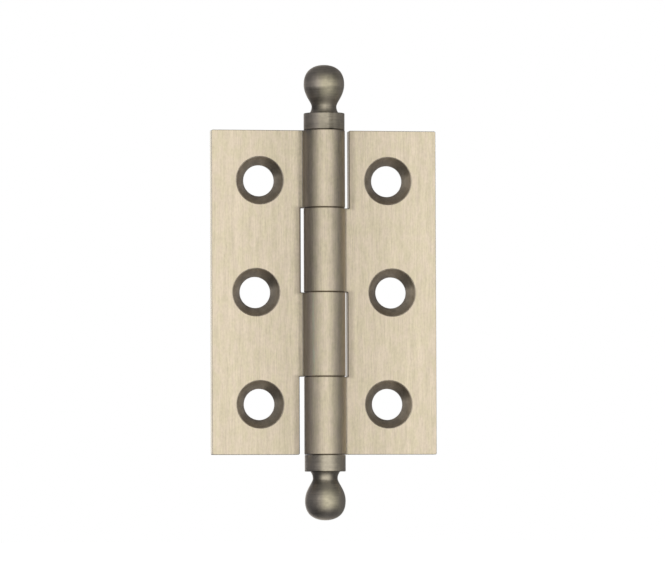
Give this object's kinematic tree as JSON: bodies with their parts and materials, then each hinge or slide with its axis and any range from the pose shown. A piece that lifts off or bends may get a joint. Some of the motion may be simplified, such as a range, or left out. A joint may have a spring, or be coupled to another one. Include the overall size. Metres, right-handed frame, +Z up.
{
  "type": "finial butt hinge",
  "caption": "Solid drawn butt hinge for a small door: two countersunk leaves with interleaved knuckles on a fixed pin, and a ball finial at each end.",
  "frame": {"origin": "on the pin's axis, halfway up the leaves and the whole hinge", "axes": "+Z up along the pin, +X towards the right leaf, -Y the way the countersunk faces look with the hinge open flat"},
  "size_m": [0.035, 0.0064, 0.0702],
  "materials": {
    "leaf_brass": "pale antique finish, brushed along the pin",
    "finial_brass": "darker antique finish, turned",
    "pin_steel": "plain drawn wire"
  },
  "bodies": {
    "fixed_leaf": {"left_leaf": "leaf_brass", "hinge_pin": "pin_steel", "top_finial": "finial_brass", "bottom_finial": "finial_brass"},
    "swinging_leaf": {"right_leaf": "leaf_brass"}
  },
  "joints": [
    {"name": "leaf_swing", "type": "hinge", "parent": "fixed_leaf", "child": "swinging_leaf", "pos_m": [0, 0, 0], "axis": [0, 0, -1], "range_deg": [-115, 180]}
  ]
}
